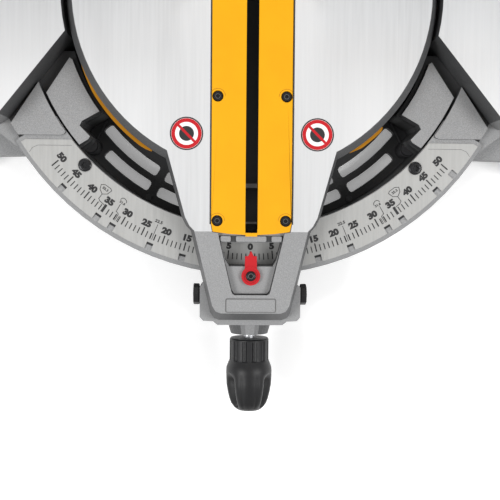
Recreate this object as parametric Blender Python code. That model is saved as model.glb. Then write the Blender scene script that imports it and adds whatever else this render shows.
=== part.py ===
"""Sliding miter saw, modelled as separate pieces on the axes that they move about.

Frame: +Z up, +Y to the rear, +X to the right. The origin is the miter pivot's axis at the
height of the bench. Sizes below are millimetres; the meshes are made in metres.
"""
import math

import bmesh
import bpy
from mathutils import Matrix, Vector

MM = 0.001
GAP = 0.4                    # clearance between neighbouring pieces

# --- driving dimensions -------------------------------------------------------------------
TABLE_Z = 96.0               # machined table height above the bench
DISC_R = 155.0               # machined top of the turntable
RIM_R = 161.0                # foot of the turntable's drafted rim
CHANNEL_R = 164.5            # inner wall of the base around the turntable
WEB_R = 204.6                # outer edge of the low web
SCALE_IN, SCALE_OUT = 203.0, 241.6
SCALE_Z = 69.0               # top of the scale plate
PAD_Z = 69.0                 # top of the painted shoulder pads
ARM_Z = 71.5                 # underside of the turntable's front arm
WING_X = 310.0               # half width of the base
WING_REAR = 55.0
REAR_Y = 190.0               # back of the low rear frame
SLOT_FRONT = -207.2
SLOT_REAR = 110.0
KERF_HALF = 34.9             # outer edge of each kerf plate
REBATE_HALF = 35.3           # pocket the kerf plates lie in
SCALE_ANGLE = 59.0           # reach of the miter scale each side
SLOT_HALF = 5.2
KERF_THICK = 3.3
FENCE_Y = (4.0, 28.0)
BLADE_R = 127.0
BLADE_C = (66.0, 217.0)      # blade centre (Y, Z) with the head down
HEAD_P = (282.0, 305.0)      # head hinge (Y, Z)
HEAD_LIFT = 40.0
MOTOR_C = (116.0, 297.0)     # motor axis (Y, Z) with the head down
MOTOR_R = 44.0
RAIL_X, RAIL_Z, RAIL_R = 42.0, 262.0, 12.0
RAIL_FRONT, RAIL_REAR = 270.6, 597.0
YOKE_Y = (299.0, 359.0)
LOCK_Z = 55.0                # height of the miter lock rod
LATCH = (-263.0, 66.0)       # latch pin (Y, Z)

COLOURS = {                  # base colour, roughness, metallic
    "cast_paint": ((0.42, 0.43, 0.45), 0.55, 0.0),
    "machined": ((0.83, 0.84, 0.85), 0.35, 0.9),
    "scale_steel": ((0.60, 0.60, 0.58), 0.40, 0.8),
    "kerf_yellow": ((0.98, 0.50, 0.01), 0.45, 0.0),
    "pointer_red": ((0.58, 0.02, 0.03), 0.40, 0.0),
    "black_plastic": ((0.02, 0.02, 0.022), 0.50, 0.0),
    "black_rubber": ((0.015, 0.015, 0.016), 0.75, 0.0),
    "steel": ((0.55, 0.56, 0.58), 0.30, 1.0),
    "black_screw": ((0.03, 0.03, 0.03), 0.35, 0.6),
    "housing_yellow": ((0.95, 0.48, 0.01), 0.42, 0.0),
    "guard_clear": ((0.55, 0.57, 0.60), 0.30, 0.0),
    "copper": ((0.60, 0.28, 0.14), 0.40, 0.9),
}


# --- helpers ------------------------------------------------------------------------------
def clear_scene():
    for obj in list(bpy.data.objects):
        bpy.data.objects.remove(obj, do_unlink=True)


def material(name):
    mat = bpy.data.materials.get(name)
    if mat is None:
        colour, rough, metal = COLOURS[name]
        mat = bpy.data.materials.new(name)
        mat.use_nodes = True
        shader = mat.node_tree.nodes["Principled BSDF"]
        shader.inputs["Base Color"].default_value = (*colour, 1.0)
        shader.inputs["Roughness"].default_value = rough
        shader.inputs["Metallic"].default_value = metal
    return mat


def point_on(axis, a, b, h):
    """Outline point (a, b) at distance h along the axis, in metres."""
    order = {"Z": (a, b, h), "Y": (a, h, b), "X": (h, a, b)}[axis]
    return Vector(order) * MM


def to_object(name, bm):
    bmesh.ops.remove_doubles(bm, verts=bm.verts, dist=1e-7)
    loose = [e for e in bm.edges if not e.link_faces]
    bmesh.ops.delete(bm, geom=loose, context="EDGES")
    bmesh.ops.recalc_face_normals(bm, faces=bm.faces)
    mesh = bpy.data.meshes.new(name)
    bm.to_mesh(mesh)
    bm.free()
    obj = bpy.data.objects.new(name, mesh)
    bpy.context.scene.collection.objects.link(obj)
    return obj


def loft(name, levels, axis="Z"):
    """Closed solid through outlines that have equal point counts: [(height, outline), ...]."""
    bm = bmesh.new()
    rings = [[bm.verts.new(point_on(axis, a, b, h)) for a, b in outline] for h, outline in levels]
    for low, high in zip(rings, rings[1:]):
        for i in range(len(low)):
            j = (i + 1) % len(low)
            bm.faces.new((low[i], low[j], high[j], high[i]))
    bm.faces.new(rings[0])
    bm.faces.new(rings[-1])
    sides = [f for f in bm.faces if len(f.verts) == 4]
    bmesh.ops.triangulate(bm, faces=sides if levels[0][1] != levels[-1][1] else [])
    return to_object(name, bm)


def prism(name, outline, low, high, axis="Z"):
    return loft(name, [(low, outline), (high, outline)], axis)


def box(name, x, y, z):
    return prism(name, [(x[0], y[0]), (x[1], y[0]), (x[1], y[1]), (x[0], y[1])], z[0], z[1])


def lathe(name, profile, steps=32, axis="Z", centre=(0.0, 0.0), start=0.0, sweep=360.0):
    """Closed profile of (radius, height) points turned about an axis through centre."""
    bm = bmesh.new()
    full = sweep >= 360.0
    rings = []
    for i in range(steps if full else steps + 1):
        t = math.radians(start + sweep * i / steps)
        ca, sa = math.cos(t), math.sin(t)
        rings.append([bm.verts.new(point_on(axis, centre[0] + r * ca, centre[1] + r * sa, h))
                      for r, h in profile])
    pairs = list(zip(rings, rings[1:])) + ([(rings[-1], rings[0])] if full else [])
    for one, two in pairs:
        for k in range(len(profile)):
            n = (k + 1) % len(profile)
            bm.faces.new((one[k], one[n], two[n], two[k]))
    if not full:
        bm.faces.new(rings[0])
        bm.faces.new(rings[-1])
    return to_object(name, bm)


def cylinder(name, radius, low, high, axis="Z", centre=(0.0, 0.0), steps=32):
    return lathe(name, [(0, low), (radius, low), (radius, high), (0, high)], steps, axis, centre)


def arc(radius, first, last, count, centre=(0.0, 0.0)):
    """Points on an arc, angles in degrees from the first outline axis."""
    out = []
    for i in range(count):
        t = math.radians(first + (last - first) * i / (count - 1))
        out.append((centre[0] + radius * math.cos(t), centre[1] + radius * math.sin(t)))
    return out


def polar(radius, degrees):
    """Point at a radius and an angle from the front, positive to the right."""
    t = math.radians(degrees)
    return (radius * math.sin(t), -radius * math.cos(t))


def arc_slot(inner, outer, first, last, corner):
    """Window between two radii and two angles from the front, with rounded corners."""
    out = []
    for radius, ends, sign in ((outer, (first, last), -1), (inner, (last, first), 1)):
        inset = math.degrees(corner / radius) * (1 if ends[1] > ends[0] else -1)
        near, far = radius + sign * corner, math.degrees(0.3 * corner / radius)
        far = far if ends[1] > ends[0] else -far
        out.append(polar(near, ends[0]))
        out.append(polar(radius + sign * 0.3 * corner, ends[0] + far))
        for k in range(5):
            out.append(polar(radius, ends[0] + inset + (ends[1] - ends[0] - 2 * inset) * k / 4))
        out.append(polar(radius + sign * 0.3 * corner, ends[1] - far))
        out.append(polar(near, ends[1]))
    return out


def ease(outline, rounds=2):
    """Rounder copy of an outline: each pass cuts every corner off at a quarter."""
    for _ in range(rounds):
        out = []
        for (x0, y0), (x1, y1) in zip(outline, outline[1:] + outline[:1]):
            out.append((0.75 * x0 + 0.25 * x1, 0.75 * y0 + 0.25 * y1))
            out.append((0.25 * x0 + 0.75 * x1, 0.25 * y0 + 0.75 * y1))
        outline = out
    return outline


def flip(outline, side):
    return [(side * x, y) for x, y in outline]


def boolean(target, tool, operation):
    mod = target.modifiers.new(operation, "BOOLEAN")
    mod.operation = operation
    mod.solver = "EXACT"
    mod.object = tool
    bpy.context.view_layer.update()
    graph = bpy.context.evaluated_depsgraph_get()
    mesh = bpy.data.meshes.new_from_object(target.evaluated_get(graph))
    target.modifiers.clear()
    target.data = mesh
    bpy.data.objects.remove(tool, do_unlink=True)


def add(target, *tools):
    for tool in tools:
        boolean(target, tool, "UNION")


def cut(target, *tools):
    for tool in tools:
        boolean(target, tool, "DIFFERENCE")


def pivot(name, x, y, z, parent=None):
    """Empty on a joint's axis."""
    empty = bpy.data.objects.new(name, None)
    empty.location = Vector((x, y, z)) * MM
    bpy.context.scene.collection.objects.link(empty)
    if parent:
        hang(empty, parent)
    return empty


def hang(obj, parent):
    """Parent without moving: the child keeps its place in the world."""
    bpy.context.view_layer.update()
    obj.parent = parent
    obj.matrix_parent_inverse = parent.matrix_world.inverted()


def merge_flats(obj):
    """Join the coplanar triangles that the Booleans leave."""
    bm = bmesh.new()
    bm.from_mesh(obj.data)
    bmesh.ops.remove_doubles(bm, verts=bm.verts, dist=2e-6)
    bmesh.ops.dissolve_limit(bm, angle_limit=0.0005, verts=bm.verts, edges=bm.edges)
    bmesh.ops.triangulate(bm, faces=bm.faces)
    bm.to_mesh(obj.data)
    bm.free()


def finish(obj, look, parent, sharp=35.0):
    merge_flats(obj)
    obj.data.materials.clear()
    obj.data.materials.append(material(look))
    obj.data.shade_smooth()
    obj.data.set_sharp_from_angle(angle=math.radians(sharp))
    hang(obj, parent)
    return obj


# --- base ---------------------------------------------------------------------------------
def base_casting(root):
    body = cylinder("base_casting", 40, 0, 46, steps=20)
    add(body, cylinder("web", WEB_R, 8, 15.6, steps=60))
    front = [(245.5, 0), (243.6, 45), (243.6, 59.4), (246.2, 61), (246.2, 62.8), (242.4, 67.2),
             (SCALE_IN, 67.2), (SCALE_IN, 15), (207, 15), (207, 62),
             (238, 62), (241, 0)]
    add(body, lathe("ring", front, 28, start=-90 - SCALE_ANGLE,
                    sweep=2 * SCALE_ANGLE))
    for side in (-1, 1):
        shoulder = [(-200, -45), (-228, -104), (-228, -118), (-207, -134), (-192.5, -147.5),
                    (-156.5, -134.5), (-145, -126.2), (-143.2, -122.4), (-152.3, -113),
                    (-150.3, -109.2), (-134.2, -100.2)]
        shoulder += list(reversed(arc(CHANNEL_R + 1, 196, 216.6, 7)))
        add(body, prism("shoulder", flip(shoulder, side), 8.5, 60))
        inner = arc(201, 204.8, 220.3, 6) + [(-145.5, -125.2), (-143.8, -122.6), (-153, -113)]
        inner += [(-151, -109)] + arc(168.5, 216.5, 199, 6) + [(-162, -53), (-180.2, -80.6)]
        outer = [(-189.3, -74.5), (-214, -111.5), (-207.6, -121.6), (-169.5, -121.6)]
        outer += [(-166.6, -120.6), (-165.4, -118.4)]
        outer += list(reversed(arc(203.6, 203, 214, 5)))
        add(body, prism("inner_pad", flip(inner, side), 58, PAD_Z))
        add(body, prism("outer_pad", flip(outer, side), 58, PAD_Z))
        wing = arc(CHANNEL_R, 192.5, 159.8, 9) + [(-WING_X + 8, WING_REAR), (-WING_X, WING_REAR - 8)]
        wing += [(-WING_X, -104), (-WING_X + 8, -112), (-226, -112), (-217, -106)]
        add(body, prism("wing", flip(wing, side), 7.7, TABLE_Z))
        hollow = [(-180, 48), (-303, 48), (-303, -104), (-228, -104), (-176, -35), (-172, 0)]
        cut(body, prism("wing_hollow", flip(hollow, side), 0, TABLE_Z - 8))
        grip = [(-304, -108), (-304, -144), (-297, -150), (-266, -150), (-256, -141.5),
                (-247, -137.5), (-214, -136.5), (-203, -132), (-203, -108)]
        add(body, prism("bench_foot", flip(grip, side), 9.5, 32))
        add(body, cylinder("foot_pad", 17, 8, 30, centre=(side * 285, -125), steps=20))
    rear = [(-150, 20), (-150, REAR_Y - 20), (-130, REAR_Y), (130, REAR_Y), (150, REAR_Y - 20),
            (150, 20)]
    add(body, prism("rear_frame", rear, 8.3, 34))
    for low, high in ((-128, -8), (8, 128)):
        cut(body, box("rear_pocket", (low, high), (50, REAR_Y - 12), (20, 40)))
    for side in (-1, 1):
        for inner_r, outer_r, last in ((168.5, 179, 51.6), (185.3, 195.4, 46)):
            for a, b in ((30.2, last), (10, 27.6)):
                window = arc_slot(inner_r, outer_r, a, b, 2.6)
                cut(body, prism("window", flip(window, side), 1, 19))
    cut(body, cylinder("pin_bore", 8.4, 10, 50, steps=18))
    finish(body, "cast_paint", root)

    plate = lathe("miter_scale_plate",
                  [(SCALE_OUT, 67.5), (SCALE_OUT, SCALE_Z), (SCALE_IN + 0.5, SCALE_Z),
                   (SCALE_IN + 0.5, 67.5)], 56,
                  start=-89 - SCALE_ANGLE, sweep=2 * SCALE_ANGLE - 2)
    cut(plate, box("end_cut", (-260, 260), (-125.6, -60), (60, 75)))
    for angle in (-45, -35.3, -31.6, -22.5, -15, 0, 15, 22.5, 31.6, 35.3, 45, 50):
        notch = box("notch", (-3.1, 3.1), (-250, -235), (60, 75))
        notch.rotation_euler.z = math.radians(angle)
        cut(plate, notch)
    finish(plate, "scale_steel", root)
    for index, (x, y) in enumerate(((-285, -125), (285, -125), (-120, REAR_Y - 18),
                                    (120, REAR_Y - 18))):
        name = "foot_" + ("front_" if index < 2 else "rear_") + ("left" if x < 0 else "right")
        foot = lathe(name, [(0, 0), (14, 0), (15, 2), (15, 7.6), (0, 7.6)], 14, centre=(x, y))
        finish(foot, "black_rubber", root)
    pin = cylinder("pivot_pin", 8, 10.4, 70, steps=24)
    finish(pin, "steel", root)


def fences(root):
    for side, word in ((-1, "left"), (1, "right")):
        low, high = TABLE_Z + GAP, TABLE_Z + 40
        front = [(42, low), (300, low), (300, high), (82, high)]
        fence = prism("fixed_fence_" + word, flip(front, side), FENCE_Y[0], FENCE_Y[1], "Y")
        cut(fence, box("relief", (side * 60, side * 296), (12, 30), (low + 10, high + 1)))
        add(fence, box("post", (side * 196, side * 214), (11, 28), (low + 5, high)))
        finish(fence, "machined", root)

        rail = pivot("fence_slide_" + word, side * 150, 16, high, root)
        upper = [(62, high + GAP), (240, high + GAP), (240, 150), (232, 166), (74, 166), (62, 154)]
        top = prism("sliding_fence_" + word, flip(upper, side), 4, 11.6, "Y")
        add(top, box("tongue", (side * 70, side * 236), (10, 20), (high + GAP, high + 12)))
        finish(top, "machined", rail)

        knob_axis = pivot("fence_knob_axis_" + word, side * 205, 36, 116, root)
        profile = [(0, 28.4), (5, 28.4), (5, 33), (13, 34), (14, 46), (11, 49), (0, 49)]
        knob = lathe("fence_knob_" + word, profile, 12, "Y", (side * 205, 116))
        finish(knob, "black_plastic", knob_axis)


# --- turntable ----------------------------------------------------------------------------
ARM_TOP = [(74, -134), (65, -166.7), (57.4, -194), (53.5, -201.5), (49.5, -205.6), (43.6, -230),
           (33.5, -271), (30.5, -275.6), (26, -277.4)]


def arm_outline(grow, front):
    side = [(x + grow, y) for x, y in ARM_TOP[:6]]
    side += [(x + grow * 0.5, y - front) for x, y in ARM_TOP[6:]]
    half = [(70 + grow, -100)] + side
    return half + [(-x, y) for x, y in reversed(half)]


def turntable(axis):
    disc = [(0, TABLE_Z), (DISC_R, TABLE_Z), (DISC_R + 1, TABLE_Z - 1), (RIM_R, 87),
            (RIM_R, 72), (155, 72), (153, 86), (0, 86)]
    body = lathe("turntable", disc, 96)
    add(body, cylinder("boss", 30, 46.4, 90, steps=24))
    levels = [(ARM_Z, arm_outline(3.5, 8)), (84, arm_outline(3.5, 7)), (TABLE_Z, arm_outline(0, 0))]
    add(body, loft("arm", levels))
    nose = [(-40, -251), (-45, -256), (-45, -283), (-42, -286.3), (-33, -286.8), (-29, -290)]
    nose += [(-x, y) for x, y in reversed(nose)]
    add(body, prism("nose", nose, 34, 76))
    add(body, box("trough_wall", (-22, 22), (-150, 118), (62, 90)))
    rear = [(-45, 120), (-45, 299.4), (45, 299.4), (45, 120), (70, 60), (-70, 60)]
    add(body, prism("rear_arm", rear, 50, TABLE_Z - 2))
    cut(body, box("rear_hollow", (-36, 36), (140, 286), (40, 86)))
    add(body, lathe("front_boss", [(0, -299.5), (17, -299.5), (20.3, -288), (0, -288)], 28, "Y",
                    (0, LOCK_Z)))
    rebate = [(REBATE_HALF, 118), (REBATE_HALF, -200), (34, -206.8), (20, -208.7), (0, -209.8)]
    cut(body, prism("kerf_rebate", rebate + [(-x, y) for x, y in reversed(rebate[:-1])],
                    TABLE_Z - 3.6, 110))
    cut(body, prism("front_step", [(-29, -206.9), (29, -206.9), (27, -216.4), (-27, -216.4)],
                    91.8, 110))
    cut(body, box("trough", (-15, 15), (SLOT_FRONT, SLOT_REAR), (76, 100)))
    add(body, box("cross_bar", (-16, 16), (-168.2, -164.4), (75, 82)))
    window = [(27.2, -215.6), (17, -258), (16.2, -260.2), (14.2, -261.4)]
    cut(body, prism("scale_window", window + [(-x, y) for x, y in reversed(window)], 90, 110))
    view = [(26.6, -215.6), (22.3, -231), (19.3, -235.8)]
    cut(body, prism("scale_view", view + [(-x, y) for x, y in reversed(view)], 60, 110))
    cut(body, cylinder("pin_bore", 8.4, 40, 72, steps=18))
    cut(body, cylinder("rod_bore", 5.3, -310, -240, "Y", (0, LOCK_Z), 20))
    cut(body, box("shoe_pocket", (-13, 13), (-256, -240), (44, 78)))
    cut(body, box("latch_pocket", (14, 30), (-280, -240), (30, 74)))
    cut(body, box("pawl_pocket", (-4, 4), (-269, -233), (61.5, 78.4)))
    cut(body, cylinder("latch_bore", 3.4, -60, 60, "X", LATCH, 16))
    finish(body, "cast_paint", axis)

    for side, word in ((-1, "left"), (1, "right")):
        top = [(SLOT_HALF, SLOT_REAR), (SLOT_HALF, SLOT_FRONT + 4), (SLOT_HALF, SLOT_FRONT),
               (0.4, SLOT_FRONT), (0.4, -209.3), (20, -208.2), (33.6, -206.3), (KERF_HALF, -199.6),
               (KERF_HALF, SLOT_REAR)]
        low = [(min(x + 3.4, KERF_HALF) if x < 6 and y > SLOT_FRONT + 1 else x, y) for x, y in top]
        plate = loft("kerf_plate_" + word, [(TABLE_Z - KERF_THICK, flip(low, side)),
                                           (TABLE_Z, flip(top, side))])
        for y in (-196.9, -89.6):
            seat = cylinder("seat", 4.9, 90, 99, centre=(side * 29.7, y), steps=14)
            cut(plate, seat)
        finish(plate, "kerf_yellow", axis)
        for y, place in ((-196.9, "front"), (-89.6, "rear")):
            head = [(0, 92.8), (4.4, 92.8), (4.4, 95), (3.8, 95.8), (2, 95.8), (2, 94), (0, 94)]
            screw = lathe("kerf_screw_%s_%s" % (word, place), head, 12, centre=(side * 29.7, y))
            finish(screw, "black_screw", axis)

    outline = arc(8.3, 50, 130 - 360, 17, (0, -245))
    outline += [(-5.2, -227.6), (-2.4, -227.4), (0, -222.8), (2.4, -227.4), (5.2, -227.6)]
    pointer = prism("miter_pointer", outline, 90.4, 92.4)
    finish(pointer, "pointer_red", axis)

    knob_axis = pivot("miter_knob_axis", 0, -335, LOCK_Z, axis)
    rod = lathe("miter_lock_rod", [(0, -318), (4.8, -318), (4.8, -256), (0, -256)], 20, "Y",
                (0, LOCK_Z))
    finish(rod, "steel", knob_axis)
    profile = [(0, -370.4), (11.5, -370.4), (16.4, -364.5), (18.3, -359), (20.7, -347), (21.2, -335),
               (20.8, -330.5), (18.1, -324), (18.1, -305), (16.8, -304), (5.2, -304),
               (5.2, -318.6), (0, -318.6)]
    knob = lathe("miter_lock_knob", profile, 24, "Y", (0, LOCK_Z))
    for angle in (30, 150, 270):
        t = math.radians(angle)
        groove = cylinder("groove", 6, -372, -333, "Y",
                          (24 * math.cos(t), LOCK_Z + 24 * math.sin(t)), 10)
        cut(knob, groove)
    finish(knob, "black_rubber", knob_axis)

    shoe_axis = pivot("brake_shoe_axis", 0, -250, LOCK_Z, axis)
    shoe = box("brake_shoe", (-11, 11), (-255.4, -246.6), (46, 58.6))
    finish(shoe, "steel", shoe_axis)

    latch_axis = pivot("latch_axis", 0, LATCH[0], LATCH[1], axis)
    pawl = [(-266, 63.5), (-266, 70), (-262, 74.5), (-236.8, 74.5), (-236.8, 69.6), (-241.2, 69.6),
            (-242, 71), (-255, 70.5), (-258, 63.5)]
    latch = prism("miter_latch", pawl, -2.5, 2.5, "X")
    paddle = [(-276, 36), (-266, 34), (-258, 44), (-257, 66), (-261, 71), (-266, 71), (-270, 60)]
    add(latch, prism("paddle", paddle, 16, 28, "X"))
    add(latch, cylinder("latch_pin", 3, -44.6, 44.6, "X", LATCH, 16))
    finish(latch, "black_plastic", latch_axis)
    for side, word in ((-1, "left"), (1, "right")):
        cap = cylinder("latch_cap_" + word, 9.7, *sorted((side * 45.4, side * 51)), axis="X",
                       centre=LATCH, steps=8)
        finish(cap, "black_plastic", latch_axis)

    support = cylinder("bevel_support", 58, 299.8, 312, "Y", (0, TABLE_Z), 28)
    cut(support, cylinder("bolt_bore", 8.4, 290, 320, "Y", (0, TABLE_Z), 24))
    finish(support, "cast_paint", axis)


# --- bevel housing, rails and head carriage -------------------------------------------------
def bevel_group(axis):
    housing = cylinder("bevel_housing", 58, 312.4, 326, "Y", (0, TABLE_Z), 28)
    column = [(-36, TABLE_Z), (-30, 200), (-63, 239), (-63, 270), (63, 270), (63, 239), (30, 200),
              (36, TABLE_Z)]
    add(housing, prism("column", column, 312.8, 350, "Y"))
    add(housing, prism("yoke", [(-64, 240), (-64, 284), (64, 284), (64, 240)], *YOKE_Y, "Y"))
    cut(housing, cylinder("bolt_bore", 8.4, 300, 360, "Y", (0, TABLE_Z), 24))
    for side in (-1, 1):
        cut(housing, cylinder("rail_bore", 15.4, 290, 370, "Y", (side * RAIL_X, RAIL_Z), 20))
    cut(housing, box("rear_pocket", (-24, 24), (322, 352), (112, 232)))
    finish(housing, "cast_paint", axis)
    for side, word in ((-1, "left"), (1, "right")):
        ring = [(RAIL_R + 0.4, YOKE_Y[0]), (15, YOKE_Y[0]), (15, YOKE_Y[1]),
                (RAIL_R + 0.4, YOKE_Y[1])]
        finish(lathe("rail_bearing_" + word, ring, 20, "Y", (side * RAIL_X, RAIL_Z)), "steel", axis)
    bolt = cylinder("bevel_pivot_bolt", 8, 300.4, 351, "Y", (0, TABLE_Z), 20)
    finish(bolt, "steel", axis)

    lever_axis = pivot("bevel_lever_axis", 0, 358, TABLE_Z, axis)
    lever = cylinder("bevel_lock_lever", 14, 351.4, 366, "Y", (0, TABLE_Z), 20)
    add(lever, prism("grip", [(-8, 89), (-72, 92), (-76, 96), (-72, 100), (-8, 103)], 354, 364, "Y"))
    finish(lever, "black_plastic", lever_axis)

    knob_axis = pivot("slide_lock_axis", 75, 329, RAIL_Z, axis)
    knob = lathe("slide_lock_knob", [(0, 64.4), (5, 64.4), (5, 70), (14, 72), (15, 88), (12, 91),
                                     (0, 91)], 12, "X", (329, RAIL_Z))
    finish(knob, "black_plastic", knob_axis)


def carriage_group(axis):
    for side, word in ((-1, "left"), (1, "right")):
        tube = [(8.5, RAIL_FRONT), (RAIL_R, RAIL_FRONT), (RAIL_R, RAIL_REAR), (8.5, RAIL_REAR)]
        finish(lathe("rail_" + word, tube, 20, "Y", (side * RAIL_X, RAIL_Z)), "steel", axis)
    cap = box("rail_end_cap", (-60, 60), (588, 606), (244, 280))
    block = box("head_carriage", (-58, 58), (262, 294), (244, 281))
    for side in (-1, 1):
        centre = (side * RAIL_X, RAIL_Z)
        cut(cap, cylinder("bore", RAIL_R + 0.4, 580, 598, "Y", centre, 20))
        cut(block, cylinder("bore", RAIL_R + 0.4, 270, 300, "Y", centre, 20))
        ear = [(HEAD_P[0] - 12, 278), (HEAD_P[0] + 11, 278)] + arc(20, -20, 200, 12, HEAD_P)
        add(block, prism("ear", ear, *sorted((side * 26, side * 38)), "X"))
    cut(block, cylinder("pin_bore", 8.4, -50, 50, "X", HEAD_P, 24))
    cut(block, cylinder("lock_bore", 4.4, -50, -20, "X", (274, 290), 16))
    finish(cap, "black_plastic", axis)
    finish(block, "cast_paint", axis)
    pin = cylinder("head_pivot_pin", 8, -40, 40, "X", HEAD_P, 20)
    finish(pin, "steel", axis)
    lock_axis = pivot("lock_pin_axis", -50, 274, 290, axis)
    lock = lathe("lock_down_pin", [(0, -62), (8, -62), (8, -50), (4, -48), (4, -32), (0, -32)], 16,
                 "X", (274, 290))
    finish(lock, "steel", lock_axis)


# --- saw head, modelled lowered and lifted at the end ----------------------------------------
def about_blade(radius, first, last, count):
    return arc(radius, first, last, count, BLADE_C)


def head_group(axis):
    arm = about_blade(38, 180, 300, 9) + [(150, 232), (215, 262), (262, 287)]
    arm += arc(19, -80, 100, 8, HEAD_P) + [(240, 345), (180, 352), (60, 345), (0, 345), (-12, 335),
                                           (-12, 300), (20, 280)]
    case = prism("saw_arm", arm, 14, 40, "X")
    add(case, cylinder("hub", 18.6, -12, 24, "X", HEAD_P, 26))
    cut(case, box("ear_gap", (24.3, 60), (255, 320), (250, 350)))
    belt_room = arc(33, 110, 290, 9, BLADE_C) + arc(24, -60, 120, 9, MOTOR_C)
    cut(case, prism("belt_room", belt_room, 18, 50, "X"))
    cut(case, cylinder("hub_bore", 8.4, -20, 30, "X", HEAD_P, 24))
    cut(case, cylinder("arbor_bore", 12.6, 0, 30, "X", BLADE_C, 24))
    cut(case, cylinder("button_bore", 6.4, 32, 42, "X", (80, 334), 16))
    finish(case, "cast_paint", axis)

    shell = [(BLADE_R + 13, -14), (BLADE_R + 13, 10), (45, 10), (45, 7), (BLADE_R + 10, 7),
             (BLADE_R + 10, -11), (45, -11), (45, -14)]
    guard = lathe("upper_guard", shell, 20, "X", BLADE_C, -8, 196)
    finish(guard, "housing_yellow", axis)

    cover_out = arc(37, 110, 290, 9, BLADE_C) + arc(30, -60, 0, 4, MOTOR_C) + [(146, 344),
                                                                                  (98, 344)]
    cover = prism("belt_cover", cover_out, 40.4, 44, "X")
    cut(cover, cylinder("shaft_bore", 12, 30, 60, "X", MOTOR_C, 24))
    finish(cover, "black_plastic", axis)

    can = [(16, 44.4), (MOTOR_R, 44.4), (MOTOR_R, 188), (40, 188), (40, 50), (16, 50)]
    motor = lathe("motor_housing", can, 28, "X", MOTOR_C)
    finish(motor, "housing_yellow", axis)
    end = [(0, 188.4), (MOTOR_R, 188.4), (MOTOR_R, 200), (38, 210), (0, 210)]
    end_cap = lathe("motor_end_cap", end, 28, "X", MOTOR_C)
    for z in (-18, 0, 18):
        cut(end_cap, box("vent", (204, 220), (MOTOR_C[0] - 26, MOTOR_C[0] + 26),
                         (MOTOR_C[1] + z - 3, MOTOR_C[1] + z + 3)))
    finish(end_cap, "black_plastic", axis)
    stator = lathe("stator", [(24, 85), (39.6, 85), (39.6, 160), (24, 160)], 20, "X", MOTOR_C)
    finish(stator, "copper", axis)
    gland = lathe("cord_gland", [(0, 160.4), (9, 160.4), (9, 166), (6, 190), (0, 190)], 16, "Y",
                  (150, MOTOR_C[1]))
    finish(gland, "black_rubber", axis)

    outer = [(-98, 318), (-86, 300), (-30, 300), (-12.4, 312), (-12.4, 358), (-28, 372), (-84, 372),
             (-98, 356)]
    handle = prism("handle", ease(outer), 12, 38, "X")
    cut(handle, prism("finger_gap", [(-82, 318), (-34, 318), (-28, 326), (-28, 350), (-36, 358),
                                     (-76, 358), (-82, 352)], 0, 60, "X"))
    cut(handle, box("trigger_pocket", (16, 34), (-90, -80), (323, 353)))
    finish(handle, "black_plastic", axis)
    trigger_axis = pivot("trigger_axis", 25, -76, 338, axis)
    trigger = prism("trigger", [(-81.6, 326), (-74, 328), (-72, 338), (-74, 348), (-81.6, 350)],
                    18, 32, "X")
    finish(trigger, "pointer_red", trigger_axis)
    button_axis = pivot("spindle_button_axis", 45, 80, 334, axis)
    button = cylinder("spindle_lock_button", 6, 40.5, 50, "X", (80, 334), 16)
    finish(button, "black_plastic", button_axis)
    port = lathe("dust_port", [(9, 140.4), (11.5, 140.4), (11.5, 185), (9, 185)], 20, "Z", (-2, 0))
    port.rotation_euler.x = math.radians(-52)
    port.location = Vector((0, *BLADE_C)) * MM
    finish(port, "black_plastic", axis)

    spin = pivot("arbor_axis", 0, *BLADE_C, axis)
    shaft = [(0, -4.6), (7.6, -4.6), (7.6, 1.4), (24, 1.4), (24, 5.4), (12, 5.4), (12, 22),
             (22, 22), (22, 36), (0, 36)]
    finish(lathe("arbor", shaft, 20, "X", BLADE_C), "steel", spin)
    blade_outline = []
    teeth = 30
    for k in range(teeth):
        blade_outline += about_blade(BLADE_R - 5, 360 / teeth * k, 360 / teeth * (k + 0.55), 2)
        blade_outline += about_blade(BLADE_R, 360 / teeth * (k + 0.6), 360 / teeth * (k + 0.85), 2)
    blade = prism("blade", blade_outline, -1.0, 1.0, "X")
    cut(blade, cylinder("bore", 8, -5, 5, "X", BLADE_C, 20))
    finish(blade, "steel", spin)
    flange = [(8, -1.4), (24, -1.4), (24, -4), (8, -4)]
    finish(lathe("outer_flange", flange, 20, "X", BLADE_C), "steel", spin)
    bolt = cylinder("arbor_bolt", 9, -10.6, -5, "X", BLADE_C, 6)
    finish(bolt, "black_screw", spin)
    motor_spin = pivot("armature_axis", 60, *MOTOR_C, axis)
    rotor = [(0, 22), (11, 22), (11, 36), (6, 36), (6, 85), (20, 85), (20, 160), (6, 160),
             (6, 180), (0, 180)]
    finish(lathe("armature", rotor, 18, "X", MOTOR_C), "copper", motor_spin)

    swing = pivot("lower_guard_axis", 0, *BLADE_C, axis)
    shell = [(133, -9.5), (133, 6), (28, 6), (28, 3.6), (130.6, 3.6), (130.6, -7.5), (34, -7.5),
             (34, -9.5)]
    finish(lathe("lower_guard", shell, 18, "X", BLADE_C, 178, 165), "guard_clear", swing)


def main():
    clear_scene()
    root = pivot("saw", 0, 0, 0)
    base_casting(root)
    fences(root)
    miter = pivot("miter_axis", 0, 0, TABLE_Z, root)
    turntable(miter)
    bevel = pivot("bevel_axis", 0, 312, TABLE_Z, miter)
    bevel_group(bevel)
    slide = pivot("head_slide_axis", 0, 330, RAIL_Z, bevel)
    carriage_group(slide)
    head = pivot("head_hinge", 0, *HEAD_P, slide)
    head_group(head)
    head.rotation_euler.x = math.radians(-HEAD_LIFT)


main()
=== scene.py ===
"""Looks of the sliding miter saw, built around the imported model. Sizes are millimetres."""
import math

import bmesh
import bpy
from mathutils import Matrix, Vector


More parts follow.
